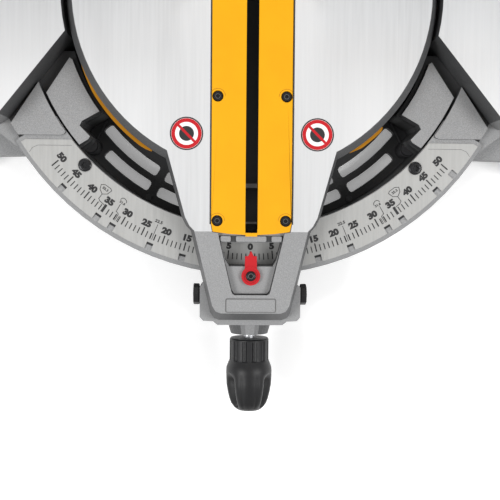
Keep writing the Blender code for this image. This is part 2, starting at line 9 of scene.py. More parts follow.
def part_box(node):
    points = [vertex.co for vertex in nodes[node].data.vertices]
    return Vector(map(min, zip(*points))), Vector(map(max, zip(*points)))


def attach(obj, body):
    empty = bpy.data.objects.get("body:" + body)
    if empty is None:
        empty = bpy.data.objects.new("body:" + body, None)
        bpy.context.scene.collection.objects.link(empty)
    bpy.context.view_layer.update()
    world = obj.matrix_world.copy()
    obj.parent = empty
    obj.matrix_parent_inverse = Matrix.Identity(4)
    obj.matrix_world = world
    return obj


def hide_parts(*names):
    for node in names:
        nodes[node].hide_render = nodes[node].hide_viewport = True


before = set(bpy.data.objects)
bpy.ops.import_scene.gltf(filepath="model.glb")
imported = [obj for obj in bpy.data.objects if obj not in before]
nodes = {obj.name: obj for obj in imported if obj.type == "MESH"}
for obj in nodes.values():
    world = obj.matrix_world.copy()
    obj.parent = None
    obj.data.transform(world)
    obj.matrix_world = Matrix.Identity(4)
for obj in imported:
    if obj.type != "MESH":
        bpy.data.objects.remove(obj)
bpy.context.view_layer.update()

MM = 0.001
SCALE_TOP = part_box("miter_scale_plate")[1][2] / MM
TABLE_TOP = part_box("base_casting")[1][2] / MM
KNOB_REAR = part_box("miter_lock_knob")[1][1] / MM
GAP = 0.02                        # clearance under what is printed or laid on a surface
PRINT = 0.12                      # thickness of printed marks
LOCK_Z = 55.0                     # height of the lock rod's axis
RING_TOP = 67.2                   # rim of the base under the scale plate
RING_INSIDE = 242.3               # radius of the base's inner wall
WEB_TOP = 15.6                    # floor of the base inside the ring
STEP_TOP = 91.8                   # floor of the step ahead of the kerf plates
WINDOW_TOP = 90.0                 # floor of the recess round the scale window
SLOT_BOTTOM = 76.0                # floor of the kerf trough
POINTER = (0, -245)               # screw of the miter pointer
POINTER_TOP = 92.4
SCREW_X = 29.7                    # kerf plate screws, to each side of the slot
FRONT_SCREWS = (-196.9, -89.6)
REAR_SCREWS = (17.7, 98.0)
LOBES = 6                         # lobes in a screw's socket

MITER_MAX = 50                    # last degree on the scale
NUMERALS = 220.3                  # radius of the scale's numerals
MAJOR_IN = 224.2                  # radius where each fifth graduation starts
MINOR_IN = 226.2                  # radius where the others start
MARK_OUT = 231.9                  # radius where they all end
NOTCHES = (-45, -35.3, -31.6, -22.5, -15, 15, 22.5, 31.6, 35.3, 45)    # detent angles


# --- camera and light ---------------------------------------------------------------------
def camera():
    """Camera over the front of the table, leaning a little off the vertical."""
    lean_x, lean_y, roll = (math.radians(a) for a in (-2.01, 1.61, -0.41))
    sx, cx, sy, cy = math.sin(lean_x), math.cos(lean_x), math.sin(lean_y), math.cos(lean_y)
    forward = Vector((sy, cy * sx, -cy * cx))
    right = Vector((cy, -sy * sx, sy * cx))
    up = Vector((0, cx, sx))
    across = math.cos(roll) * right - math.sin(roll) * up
    up = math.sin(roll) * right + math.cos(roll) * up
    data = bpy.data.cameras.new("camera")
    data.sensor_width = 36.0
    data.lens = 57.6
    data.clip_start = 0.01
    cam = bpy.data.objects.new("camera", data)
    basis = Matrix((across, up, -forward)).transposed().to_4x4()
    eye = Vector((-20.5, -197.7, 789)) * MM
    cam.matrix_world = Matrix.Translation(eye) @ basis
    bpy.context.scene.collection.objects.link(cam)
    bpy.context.scene.camera = cam


def area_light(name, location, size, power):
    data = bpy.data.lights.new(name, "AREA")
    data.shape = "DISK"
    data.size = size
    data.energy = power
    lamp = bpy.data.objects.new(name, data)
    lamp.location = location
    lamp.rotation_euler = (-Vector(location)).to_track_quat("-Z", "Y").to_euler()
    bpy.context.scene.collection.objects.link(lamp)


def studio():
    world = bpy.data.worlds.new("studio")
    world.use_nodes = True
    background = world.node_tree.nodes["Background"]
    background.inputs["Color"].default_value = (1.0, 1.0, 1.0, 1)
    background.inputs["Strength"].default_value = 0.6
    bpy.context.scene.world = world
    bpy.context.scene.view_settings.view_transform = "Standard"
    area_light("key", (-1.5, -0.6, 1.9), 0.9, 27)
    area_light("fill", (1.5, -0.3, 1.9), 0.9, 24)
    area_light("back", (0.1, 1.9, 1.7), 1.0, 14)
    bm = bmesh.new()
    bmesh.ops.create_grid(bm, x_segments=1, y_segments=1, size=3.0)
    floor = mesh_object("floor", bm)
    floor.location.z = -0.0005
    g = Graph("floor")
    g.set(Base_Color=(0.92, 0.92, 0.92, 1.0), Roughness=0.9, Emission_Color=(1.0, 1.0, 1.0, 1.0),
          Emission_Strength=0.24, Specular_IOR_Level=0.0)
    floor.data.materials.append(g.material)


# --- materials ----------------------------------------------------------------------------
class Graph:
    """A material's nodes, with short ways to add and join them."""

    def __init__(self, name):
        self.material = bpy.data.materials.new(name)
        self.material.use_nodes = True
        self.nodes = self.material.node_tree.nodes
        self.links = self.material.node_tree.links
        self.shader = self.nodes["Principled BSDF"]
        self.coords = self.nodes.new("ShaderNodeTexCoord").outputs["Object"]

    def noise(self, scale, stretch=(1, 1, 1), detail=3.0, rough=0.55):
        mapping = self.nodes.new("ShaderNodeMapping")
        mapping.inputs["Scale"].default_value = stretch
        self.links.new(self.coords, mapping.inputs["Vector"])
        node = self.nodes.new("ShaderNodeTexNoise")
        node.inputs["Scale"].default_value = scale
        node.inputs["Detail"].default_value = detail
        node.inputs["Roughness"].default_value = rough
        self.links.new(mapping.outputs["Vector"], node.inputs["Vector"])
        return node.outputs["Fac"]

    def ramp(self, value, low, high, low_out=0.0, high_out=1.0):
        node = self.nodes.new("ShaderNodeMapRange")
        node.clamp = True
        for socket, number in (("From Min", low), ("From Max", high), ("To Min", low_out),
                               ("To Max", high_out)):
            if isinstance(number, (int, float)):
                node.inputs[socket].default_value = number
            else:
                self.links.new(number, node.inputs[socket])
        self.links.new(value, node.inputs["Value"])
        return node.outputs["Result"]

    def mix(self, factor, one, two):
        node = self.nodes.new("ShaderNodeMix")
        node.data_type = "RGBA"
        self.links.new(factor, node.inputs["Factor"])
        for socket, colour in ((node.inputs[6], one), (node.inputs[7], two)):
            if isinstance(colour, tuple):
                socket.default_value = (*colour, 1.0)
            else:
                self.links.new(colour, socket)
        return node.outputs[2]

    def math(self, kind, one, two):
        node = self.nodes.new("ShaderNodeMath")
        node.operation = kind
        for socket, value in zip(node.inputs, (one, two)):
            if isinstance(value, (int, float)):
                socket.default_value = value
            else:
                self.links.new(value, socket)
        return node.outputs[0]

    def axis(self, letter):
        split = self.nodes.new("ShaderNodeSeparateXYZ")
        self.links.new(self.coords, split.inputs[0])
        return split.outputs[letter]

    def between(self, value, low, high):
        """One inside a range and zero outside it."""
        return self.math("MULTIPLY", self.math("GREATER_THAN", value, low),
                         self.math("LESS_THAN", value, high))

    def within(self, radius):
        """One inside an upright cylinder about the turntable's axis."""
        squares = [self.math("POWER", self.axis(letter), 2.0) for letter in "XY"]
        return self.math("LESS_THAN", self.math("ADD", *squares), (radius * MM) ** 2)

    def facing_up(self):
        geometry = self.nodes.new("ShaderNodeNewGeometry")
        split = self.nodes.new("ShaderNodeSeparateXYZ")
        self.links.new(geometry.outputs["Normal"], split.inputs[0])
        return split.outputs["Z"]

    def bump(self, value, strength, distance=0.0003):
        node = self.nodes.new("ShaderNodeBump")
        node.inputs["Strength"].default_value = strength
        node.inputs["Distance"].default_value = distance
        self.links.new(value, node.inputs["Height"])
        self.links.new(node.outputs["Normal"], self.shader.inputs["Normal"])

    def set(self, **values):
        for name, value in values.items():
            socket = self.shader.inputs[name.replace("_", " ")]
            if isinstance(value, (int, float, tuple)):
                socket.default_value = value
            else:
                self.links.new(value, socket)


def shade(colour, factor):
    return tuple(min(1.0, c * factor) for c in colour)


def surface(name, colour, rough, metal=0.0, grain=0.06, scale=900.0, bump=0.15, shine=0.5):
    """Even material with mottled colour, uneven gloss and a fine skin."""
    g = Graph(name)
    broad = g.noise(35.0, detail=2.0)
    fine = g.noise(scale)
    tone = g.mix(g.ramp(broad, 0.3, 0.7), shade(colour, 1 - grain), shade(colour, 1 + grain))
    gloss = g.ramp(fine, 0.3, 0.7, rough - 0.06, rough + 0.06)
    g.set(Base_Color=tone, Metallic=metal, Roughness=gloss, Specular_IOR_Level=shine)
    g.bump(fine, bump)
    return g.material


def brushed(name, colour, rough, metal, stretch):
    """Metal with fine parallel scratches."""
    g = Graph(name)
    lines = g.noise(600.0, stretch, 2.0)
    cloud = g.noise(14.0, detail=2.0)
    tone = g.mix(g.ramp(lines, 0.3, 0.7), shade(colour, 0.94), shade(colour, 1.04))
    tone = g.mix(g.ramp(cloud, 0.35, 0.75, 0.0, 0.25), tone, shade(colour, 0.9))
    gloss = g.ramp(lines, 0.3, 0.7, rough - 0.05, rough + 0.08)
    g.set(Base_Color=tone, Metallic=metal, Roughness=gloss)
    g.bump(lines, 0.05, 0.00005)
    return g.material


def painted_skin(g, paint, pits):
    """Textured paint with small specks and broad clouds."""
    specks = g.noise(420.0, detail=2.0, rough=0.6)
    broad = g.noise(16.0, detail=2.0)
    tone = g.mix(g.ramp(pits, 0.36, 0.64), shade(paint, 0.74), shade(paint, 1.2))
    tone = g.mix(g.ramp(specks, 0.4, 0.62, 0.0, 0.3), tone, shade(paint, 0.88))
    return g.mix(g.ramp(broad, 0.35, 0.7, 0.0, 0.3), tone, shade(paint, 0.85))


def milled_skin(g):
    """Bright machined face with fine streaks in broad bands."""
    streaks = g.noise(420.0, (1, 0.03, 1), 2.0)
    bands = g.noise(9.0, (1, 0.25, 1), 1.0)
    tone = g.mix(g.ramp(streaks, 0.3, 0.7), (0.53, 0.535, 0.54), (0.61, 0.615, 0.62))
    return g.mix(g.ramp(bands, 0.35, 0.65), tone, (0.69, 0.695, 0.70))


def casting(name, paint, wall_shade, upright=0.45, machined=None, shade_heights=None, trough=None):
    """Textured paint, with painted shade on walls, low places and recesses. Places are in metres.

    machined: height and front end of the milled faces. raw: wall colour, painted shade on faces
    that don't turn up. groove: heights of the channel in the base's inner wall, painted dark as
    shade. trough: half width, front end and rim height of the kerf trough, painted dark inside as
    shade.
    """
    g = Graph(name)
    height = g.axis("Z")
    pits = g.noise(1300.0, detail=3.0, rough=0.75)
    # Wall colour: painted shade, with the paint's pitted texture.
    wall = g.mix(g.ramp(pits, 0.36, 0.64), shade(wall_shade, 0.75), shade(wall_shade, 1.25))
    # Painted shade: darker towards the bottom, deep inside the casting.
    low_shade = g.ramp(height, 0.0155, 0.03, 1.0, 0.0)
    if shade_heights is not None:
        # Painted shade: walls in the ring's front half keep the dark wall colour, other walls take
        # the paint darkened, and the low shade applies only inside the ring.
        cave = g.math("MULTIPLY", g.within(RING_INSIDE), g.math("LESS_THAN", g.axis("Y"), 0.03))
        wall = g.mix(cave, shade(paint, 0.62), wall)
        low_shade = g.math("MULTIPLY", cave, low_shade)
    # Painted shade: faces that don't turn up take the darker wall colour instead of the paint.
    top = g.ramp(g.facing_up(), upright, min(0.98, upright + 0.3))
    tone = g.mix(top, wall, painted_skin(g, paint, pits))
    tone = g.mix(low_shade, tone, shade(wall_shade, 0.4))
    # Painted shade: a band of heights inside the ring, in the channel below the pads, drawn darker.
    if shade_heights is not None:
        sunk_shade = g.math("MULTIPLY", g.between(height, *shade_heights), cave)
        tone = g.mix(sunk_shade, tone, shade(wall_shade, 0.6))
    rough, metal, relief = 0.52, 0.05, pits
    if machined is not None:
        above, behind = machined
        mask = g.math("MULTIPLY", g.ramp(height, above - 2e-4, above - 1e-4),
                      g.ramp(g.facing_up(), 0.93, 0.97))
        mask = g.math("MULTIPLY", mask, g.math("GREATER_THAN", g.axis("Y"), behind))
        tone = g.mix(mask, tone, milled_skin(g))
        rough = g.ramp(mask, 0, 1, 0.52, 0.42)
        metal = g.ramp(mask, 0, 1, 0.05, 0.12)
        relief = g.mix(mask, g.mix(pits, (0, 0, 0), (1, 1, 1)), (0.5, 0.5, 0.5))
    # Painted shade inside the kerf trough: near black, darker towards the rear.
    if trough is not None:
        half, front, rim = trough
        near, far = (0.05, 0.051, 0.053), (0.012, 0.012, 0.013)
        inside = g.math("MULTIPLY", g.between(g.axis("X"), -half, half),
                        g.math("GREATER_THAN", g.axis("Y"), front))
        inside = g.math("MULTIPLY", inside, g.math("LESS_THAN", height, rim))
        tone = g.mix(inside, tone, g.mix(g.ramp(g.axis("Y"), -0.19, -0.04), near, far))
        rough = g.ramp(inside, 0, 1, rough, 0.7)
    g.set(Base_Color=tone, Metallic=metal, Roughness=rough, Specular_IOR_Level=0.35)
    g.bump(relief, 0.32)
    return g.material


def materials():
    paint = (0.305, 0.307, 0.31)
    return {
        # Each casting's third colour is its wall colour: painted shade on faces that don't turn up.
        "base": casting("base_cast", paint, (0.075, 0.076, 0.078), machined=(0.0958, -0.35),
                        shade_heights=(0.05, 0.0625)),
        "table": casting("table_cast", paint, (0.085, 0.086, 0.088), upright=0.84,
                         machined=(0.0958, -0.2062), trough=(0.012, -0.2074, 0.0948)),
        "paint": casting("cast_paint", paint, shade(paint, 0.8)),
        "scale": brushed("scale_steel", (0.405, 0.405, 0.395), 0.42, 0.15, (1, 0.05, 1)),
        "yellow": surface("kerf_yellow", (0.80, 0.375, 0.004), 0.5, 0.0, 0.03, 1200, 0.10, 0.2),
        # Darker copy of the kerf yellow: painted shade on the band under the table's rim.
        "band": surface("rim_yellow_shaded", (0.52, 0.215, 0.004), 0.5, 0.0, 0.06, 1200, 0.10, 0.2),
        "red": surface("pointer_red", (0.50, 0.012, 0.018), 0.42, 0.0, 0.05, shine=0.25),
        "plastic": surface("black_plastic", (0.012, 0.012, 0.013), 0.42, 0.0, 0.2, 1400, 0.3, 0.35),
        "rubber": surface("black_rubber", (0.010, 0.010, 0.011), 0.42, 0.0, 0.25, 1800, 0.35, 0.35),
        "steel": brushed("ground_steel", (0.62, 0.63, 0.65), 0.25, 1.0, (1, 0.05, 1)),
        "blade": brushed("blade_steel", (0.66, 0.67, 0.68), 0.28, 1.0, (1, 1, 0.05)),
        "machined": brushed("machined", (0.50, 0.505, 0.515), 0.4, 0.35, (0.04, 1, 1)),
        "screw": surface("black_screw", (0.018, 0.018, 0.02), 0.28, 0.5, 0.2),
        "housing": surface("housing_yellow", (0.90, 0.42, 0.012), 0.38, 0.0, 0.03, 1300, 0.2),
        "guard": surface("guard_smoke", (0.40, 0.42, 0.45), 0.25, 0.0, 0.05),
        "copper": surface("copper", (0.5, 0.22, 0.1), 0.4, 0.8),
        "print": surface("print_black", (0.012, 0.012, 0.013), 0.5, 0.0, 0.2),
        "white": surface("label_white", (0.86, 0.86, 0.85), 0.4, 0.0, 0.02),
        # Near black for painted shadows in notches, gaps, window edges, holes and the deep web.
        "dark": surface("painted_shadow", (0.02, 0.02, 0.022), 0.7, 0.0, 0.2),
        # Grey for print and bars, and for painted highlights on the screw sockets.
        "grey": surface("grey_print_and_glint", (0.12, 0.12, 0.12), 0.5, 0.0, 0.2),
        "cast_dark": surface("cast_shadow", (0.045, 0.046, 0.048), 0.6, 0.0, 0.2, 1300, 0.3),
        # Darker copy of the kerf yellow: painted shade along the recess outlines in the kerf plates.
        "seat_shade": surface("seat_groove_shaded", (0.42, 0.17, 0.004), 0.5, 0.0, 0.05, 1200, 0.1, 0.2),
    }


def node_materials(mats):
    looks = {
        "base": ["base_casting"],
        "table": ["turntable"],
        "paint": ["bevel_support", "bevel_housing", "head_carriage", "saw_arm"],
        "scale": ["miter_scale_plate"],
        "yellow": ["kerf_plate_left", "kerf_plate_right"],
        "red": ["miter_pointer", "trigger"],
        "plastic": ["fence_knob_left", "fence_knob_right", "miter_latch", "latch_cap_left",
                    "latch_cap_right", "bevel_lock_lever", "slide_lock_knob", "rail_end_cap",
                    "belt_cover", "motor_end_cap", "handle", "spindle_lock_button", "dust_port"],
        "rubber": ["foot_front_left", "foot_front_right", "foot_rear_left", "foot_rear_right",
                   "cord_gland", "miter_lock_knob"],
        "steel": ["pivot_pin", "miter_lock_rod", "brake_shoe", "rail_bearing_left",
                  "rail_bearing_right", "bevel_pivot_bolt", "rail_left", "rail_right",
                  "head_pivot_pin", "lock_down_pin", "arbor", "outer_flange"],
        "blade": ["blade"],
        "machined": ["fixed_fence_left", "fixed_fence_right", "sliding_fence_left",
                     "sliding_fence_right"],
        "screw": ["kerf_screw_left_front", "kerf_screw_left_rear", "kerf_screw_right_front",
                  "kerf_screw_right_rear", "arbor_bolt"],
        "housing": ["upper_guard", "motor_housing"],
        "guard": ["lower_guard"],
        "copper": ["stator", "armature"],
    }
    for look, names in looks.items():
        for name in names:
            slots = nodes[name].data.materials
            for index in range(len(slots)):
                slots[index] = mats[look]


def soften(name, width):
    """Weld the imported corners, clear flat seams and round the edges."""
    obj = nodes[name]
    weld = obj.modifiers.new("weld", "WELD")
    weld.merge_threshold = 0.00001
    flat = obj.modifiers.new("flat", "DECIMATE")
    flat.decimate_type = "DISSOLVE"
    flat.angle_limit = math.radians(0.5)
    bevel = obj.modifiers.new("bevel", "BEVEL")
    bevel.width = width * MM
    bevel.segments = 2
    bevel.limit_method = "ANGLE"
    bevel.angle_limit = math.radians(30)
    bevel.harden_normals = True
    bevel.use_clamp_overlap = True


# --- mesh helpers -------------------------------------------------------------------------
def mesh_object(name, bm):
    mesh = bpy.data.meshes.new(name)
    bm.to_mesh(mesh)
    bm.free()
    obj = bpy.data.objects.new(name, mesh)
    bpy.context.scene.collection.objects.link(obj)
    return obj


def polar(radius, degrees):
    """Point on the scale, its angle taken from straight ahead."""
    t = math.radians(degrees)
    return (radius * math.sin(t), -radius * math.cos(t))


def bridge(bm, rings, closed=False):
    """Join rings of points one after another, and cap both ends or close the loop."""
    count = len(rings[0])
    for one, two in zip(rings, rings[1:] + (rings[:1] if closed else [])):
        for i in range(count):
            j = (i + 1) % count
            bm.faces.new((one[i], one[j], two[j], two[i]))
    if not closed:
        bm.faces.new(list(reversed(rings[0])))
        bm.faces.new(rings[-1])


def slab(bm, outline, low, high):
    """Thin solid with the outline's shape, points in order round it."""
    bridge(bm, [[bm.verts.new(Vector((x, y, z)) * MM) for x, y in outline] for z in (low, high)])


def ring_slab(bm, centre, inner, outer, low, high, start=0.0, sweep=360.0, steps=64):
    """Flat ring or arc band round a centre."""
    full = sweep >= 360.0
    corners = ((inner, low), (outer, low), (outer, high), (inner, high))
    rings = []
    for i in range(steps if full else steps + 1):
        t = math.radians(start + sweep * i / steps)
        rings.append([bm.verts.new(Vector((centre[0] + r * math.cos(t), centre[1] + r * math.sin(t),
                                           z)) * MM) for r, z in corners])
    bridge(bm, rings, closed=full)


def circle(centre, radii):
    """Points round a centre, one for each radius."""
    points = []
    for i, radius in enumerate(radii):
        t = math.tau * i / len(radii)
        points.append((centre[0] + radius * math.cos(t), centre[1] + radius * math.sin(t)))
    return points


def disc(bm, centre, radius, low, high, steps=48):
    slab(bm, circle(centre, [radius] * steps), low, high)


def place(name, bm, mat, body):
    bmesh.ops.recalc_face_normals(bm, faces=bm.faces)
    obj = mesh_object(name, bm)
    obj.data.materials.append(mat)
    obj.data.shade_smooth()
    obj.data.set_sharp_from_angle(angle=math.radians(35))
    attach(obj, body)
    return obj


# --- printed scale ------------------------------------------------------------------------
def add_text(bm, words, centre, size, turn, height, heavy=0.00052, wide=1.16):
    """Bold digits as thin raised geometry; heavy is how far strokes are spread, in metres."""
    curve = bpy.data.curves.new("digits", "FONT")
    curve.body = words
    curve.size = size * MM
    curve.align_x, curve.align_y = "CENTER", "CENTER"
    curve.extrude = PRINT * MM / 2
    curve.offset = heavy
    curve.resolution_u = 4
    holder = bpy.data.objects.new("digits", curve)
    bpy.context.scene.collection.objects.link(holder)
    bpy.context.view_layer.update()
    mesh = bpy.data.meshes.new_from_object(holder.evaluated_get(
        bpy.context.evaluated_depsgraph_get()))
    spin = Matrix.Rotation(math.radians(turn), 4, "Z") @ Matrix.Diagonal((wide, 1, 1, 1))
    mesh.transform(Matrix.Translation(Vector((*centre, height)) * MM) @ spin)
    bm.from_mesh(mesh)
    bpy.data.objects.remove(holder, do_unlink=True)
    bpy.data.meshes.remove(mesh)
    bpy.data.curves.remove(curve)


def radial_bar(bm, angle, inner, outer, width, low, high):
    reach, half = outer - inner, width / 2
    corners = ((0, -half), (reach, -half), (reach, half), (0, half))
    slab(bm, turned(corners, inner, angle), low, high)


def turned(points, radius, degrees):
    """Outline given outward and sideways from a point on the scale, turned to its angle."""
    t = math.radians(degrees)
    out, side = Vector((math.sin(t), -math.cos(t))), Vector((math.cos(t), math.sin(t)))
    return [tuple(out * (radius + o) + side * s) for o, s in points]


def line(bm, points, width, low, high):
    """Thin printed line through several points."""
    for one, two in zip(points, points[1:]):
        one, two = Vector(one), Vector(two)
        step = (two - one).normalized()
        across = Vector((-step.y, step.x)) * width / 2
        one, two = one - step * width / 3, two + step * width / 3
        slab(bm, [tuple(one - across), tuple(two - across), tuple(two + across),
                  tuple(one + across)], low, high)


def small_tag(bm, words, radius, angle, size, low):
    add_text(bm, words, polar(radius, angle), size, angle, low + PRINT / 2, 0.0001)


def outlined(bm, shapes, radius, side, angle, low, high):
    """Fine lines through shapes drawn for the right side of the scale."""
    for points in shapes:
        mirrored = [(outward, side * across) for outward, across in points]
        line(bm, turned(mirrored, radius, side * angle), 0.5, low, high)


def crown_mark(bm, side, low, high):
    """Outlined shield with its angle inside and a kinked leader to the graduation."""
    shield = [(-2.0, -5.4), (2.5, -4.1), (5.3, -0.4), (3.0, 3.8), (-1.0, 5.4), (-3.0, 2.4),
              (-3.2, -3.6), (-2.0, -5.4)]
    leader = [(5.3, -0.4), (10.3, -0.4), (11.5, -2.6), (11.8, -7.6)]
    outlined(bm, (shield, leader), 213.5, side, 37.5, low, high)
    small_tag(bm, "35.3", 213.6, side * 37.5, 3.0, low)
    radial_bar(bm, side * 35.3, MAJOR_IN, MARK_OUT, 1.15, low, high)


def cove_mark(bm, side, low, high):
    """Angle under an arch with a leader to three fine graduations."""
    arch = [(0.1, -3.0), (-1.6, -2.2), (-2.4, -0.6), (-2.4, 1.2), (-1.6, 2.4), (0.1, 3.0)]
    leader = [(3.8, 0.9), (11.2, 0.6), (12.2, -2.2), (13.4, -2.5)]
    outlined(bm, (arch, leader), 213.0, side, 32.3, low, high)
    small_tag(bm, "31.6", 214.9, side * 32.3, 2.9, low)
    for degree in (31.3, 31.7, 32.1):
        radial_bar(bm, side * degree, MINOR_IN, MARK_OUT, 0.5, low, high)


def graduations(mats):
    """Every degree, each fifth one longer and numbered, with the usual crown angles."""
    low, high = SCALE_TOP + GAP, SCALE_TOP + GAP + PRINT
    bm = bmesh.new()
    for degree in range(-MITER_MAX, MITER_MAX + 1):
        if degree % 5 == 0:
            radial_bar(bm, degree, MAJOR_IN, MARK_OUT, 1.15, low, high)
        else:
            radial_bar(bm, degree, MINOR_IN, MARK_OUT, 0.85, low, high)
    for degree in range(-MITER_MAX, MITER_MAX + 1, 5):
        add_text(bm, str(abs(degree)), polar(NUMERALS, degree), 7.3, degree, low + PRINT / 2)
    for side in (-1, 1):
        add_text(bm, "22.5", polar(214.6, side * 22.5), 3.6, side * 22.5, low + PRINT / 2, 0.00012)
        radial_bar(bm, side * 22.5, 217.2, MARK_OUT, 0.45, low, high)
        for degree in (22.1, 22.9):
            radial_bar(bm, side * degree, MINOR_IN, MARK_OUT, 0.5, low, high)
        crown_mark(bm, side, low, high)
        cove_mark(bm, side, low, high)
    place("scale_print", bm, mats["print"], "base")


def miter_scale(mats):
    graduations(mats)
    bm = bmesh.new()
    for side in (-1, 1):
        border = [(side * 197.5, -137.0), (side * 194.8, -133.0), (side * 190.0, -130.8),
                  (side * 160.0, -130.8)]
        line(bm, border, 0.35, SCALE_TOP + GAP, SCALE_TOP + 0.08)
    place("scale_border", bm, mats["grey"], "base")

    # Painted shadow: a dark bar at the inner edge of each detent notch.
    bm = bmesh.new()
    notch_shadow = ((0.15, -2.9), (2.2, -2.9), (2.2, 2.9), (0.15, 2.9))
    for angle in NOTCHES:
        slab(bm, turned(notch_shadow, 235, angle), RING_TOP + GAP, RING_TOP + 0.2)
    place("detent_notch_shadows", bm, mats["dark"], "base")

    bm = bmesh.new()
    for side in (-1, 1):
        torx_screw(bm, polar(209.5, side * 45), 5.9, SCALE_TOP)
    place("scale_screws", bm, mats["screw"], "base")


def torx_screw(bm, centre, radius, seat):
    """Domed screw head with a lobed socket, built ring by ring from outside to inside."""
    steps = LOBES * 8
    dome = ((1.0, 0.0), (1.0, 0.9), (0.93, 1.35), (0.78, 1.65), (0.56, 1.75))
    socket = [radius * (0.43 + 0.07 * math.cos(LOBES * math.tau * i / steps)) for i in range(steps)]
    levels = [([radius * share] * steps, rise) for share, rise in dome]
    levels += [(socket, 1.7), (socket, 0.25)]
    rings = [[bm.verts.new(Vector((x, y, seat + GAP + rise)) * MM) for x, y in circle(centre, radii)]
             for radii, rise in levels]
    bridge(bm, rings)


# --- turntable details --------------------------------------------------------------------
def badges(mats):
    """Plain round badges: a barred red ring over a dark dot."""
    bar = ((9.9, 1.1), (-9.9, 1.1), (-9.9, -1.1), (9.9, -1.1))
    slant = math.sqrt(0.5)
    for side, word in ((-1, "left"), (1, "right")):
        x0, y0 = centre = (side * 56.5, -122.0)
        bm = bmesh.new()
        disc(bm, centre, 13.8, TABLE_TOP + GAP, TABLE_TOP + 0.14)
        place("badge_base_" + word, bm, mats["white"], "table")
        bm = bmesh.new()
        ring_slab(bm, centre, 9.9, 13.0, TABLE_TOP + 0.15, TABLE_TOP + 0.24)
        slab(bm, [(x0 + slant * (x + y), y0 + slant * (y - x)) for x, y in bar],
             TABLE_TOP + 0.26, TABLE_TOP + 0.34)
        place("badge_ring_" + word, bm, mats["red"], "table")
        bm = bmesh.new()
        disc(bm, centre, 6.4, TABLE_TOP + 0.15, TABLE_TOP + 0.24)
        ring_slab(bm, centre, 13.2, 14.3, TABLE_TOP + 0.15, TABLE_TOP + 0.2)
        place("badge_centre_" + word, bm, mats["print"], "table")


def rim_band(mats):
    """Yellow bands under the table's rim, painted darker as shade, tapered at their ends."""
    steps = 18
    bm = bmesh.new()
    for first, last in ((-69, -33), (33, 46)):
        inner, outer = [], []
        for k in range(steps + 1):
            angle = first + (last - first) * k / steps
            share = min(1.0, (k + 0.6) / 6, (steps + 0.6 - k) / 2)
            inner.append(polar(161.05, angle))
            outer.append(polar(161.4 + 2.6 * share, angle))
        slab(bm, outer + list(reversed(inner)), 74, 78)
    place("rim_band", bm, mats["band"], "table")


def table_screws(mats):
    bm = bmesh.new()
    for side in (-1, 1):
        for y in REAR_SCREWS:
            torx_screw(bm, (side * SCREW_X, y), 4.3, TABLE_TOP - 1.2)
    place("rear_plate_screws", bm, mats["screw"], "table")
    bm = bmesh.new()
    torx_screw(bm, POINTER, 4.4, POINTER_TOP)
    place("pointer_screw", bm, mats["screw"], "table")
    bm = bmesh.new()
    ring_slab(bm, POINTER, 6.4, 8.1, POINTER_TOP + GAP, POINTER_TOP + 0.9)
    place("pointer_ring", bm, mats["red"], "table")


def plate_gaps(mats):
    """Shadow gaps along the outer edges of the kerf plates."""
    bm = bmesh.new()
    for side in (-1, 1):
        line(bm, [(side * 35.8, -199.6), (side * 35.8, 117.6)], 0.9, TABLE_TOP + 0.01,
             TABLE_TOP + 0.05)
    place("plate_gaps", bm, mats["dark"], "table")


def socket_rings(mats):
    """Painted highlights on the screw sockets' rims, and painted shade along the recess outlines in
    the kerf plates.
    """
    # Grey rings in the sockets: painted highlights.
    bm = bmesh.new()
    for side in (-1, 1):
        for y in FRONT_SCREWS + REAR_SCREWS:
            ring_slab(bm, (side * SCREW_X, y), 1.8, 2.1, TABLE_TOP - 0.18, TABLE_TOP - 0.1, steps=24)
    ring_slab(bm, POINTER, 1.9, 2.4, POINTER_TOP + 1.8, POINTER_TOP + 1.9, steps=24)
    place("socket_rim_glints", bm, mats["grey"], "table")
    # Darker yellow arcs: painted shade along the recess outlines.
    bm = bmesh.new()
    for side, start in ((-1, 0), (1, 40)):
        for y in FRONT_SCREWS:
            ring_slab(bm, (side * SCREW_X, y), 6.3, 6.7, TABLE_TOP + 0.01, TABLE_TOP + 0.05,
                      start=start, sweep=140)
    place("seat_outline_shadows", bm, mats["seat_shade"], "table")


def front_step(mats):
    """Raised tabs ahead of the kerf plates and the bridge over their seam."""
    bm = bmesh.new()
    for centre, half in ((-22.2, 4.4), (0.0, 13.2), (22.2, 4.4)):
        outline = [(x + centre, y) for x, y in rounded(half, 2.4, -212.6, 1.1)]
        slab(bm, outline, STEP_TOP + GAP, 94.4)
    place("step_tabs", bm, mats["paint"], "table")
    bm = bmesh.new()
    floor = [(28.0, -209.6), (27.0, -215.4), (-27.0, -215.4), (-28.0, -209.6)]
    slab(bm, floor, STEP_TOP + GAP, STEP_TOP + 0.2)
    place("step_floor", bm, mats["cast_dark"], "table")
    bm = bmesh.new()
    slab(bm, [(-5.1, -210.4), (5.1, -210.4), (5.1, -207.4), (-5.1, -207.4)],
         TABLE_TOP - 0.6, TABLE_TOP + 0.15)
    place("slot_tab", bm, mats["yellow"], "table")


